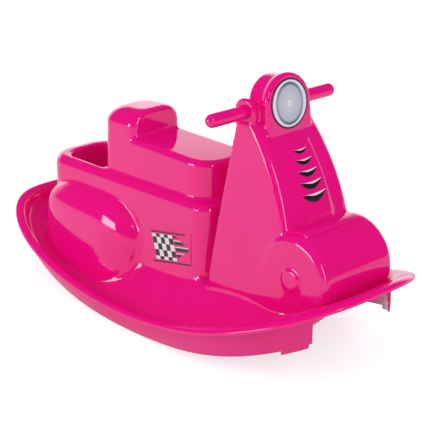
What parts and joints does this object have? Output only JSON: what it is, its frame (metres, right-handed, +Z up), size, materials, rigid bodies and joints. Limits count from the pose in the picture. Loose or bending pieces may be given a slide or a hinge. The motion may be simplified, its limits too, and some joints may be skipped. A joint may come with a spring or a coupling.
{
  "type": "rocking ride-on toy",
  "caption": "Child's rocking motorcycle in glossy plastic: boat-shaped tray on curved runners, seat with a bin behind it, leg shield with headlamp nacelle, mudguard and straight handlebar.",
  "frame": {"origin": "on the floor plane that the runners touch, under the middle of the object's bounding box", "axes": "+X forward towards the mudguard, +Y to the rider's left, +Z up"},
  "size_m": [0.795, 0.336, 0.4174],
  "materials": {
    "pink_plastic": "high gloss, injection moulded",
    "screw_steel": "zinc plated",
    "lamp_print": "printed foil",
    "black_print": "printed foil"
  },
  "bodies": {
    "root": {"body_shell": "pink_plastic", "handlebar": "pink_plastic", "handlebar_screw_near": "screw_steel", "handlebar_screw_far": "screw_steel", "headlamp_label": "lamp_print", "louvre_label_1": "black_print", "louvre_label_2": "black_print", "louvre_label_3": "black_print", "louvre_label_4": "black_print", "louvre_label_5": "black_print", "side_label_near": "black_print", "side_label_far": "black_print"}
  },
  "joints": []
}
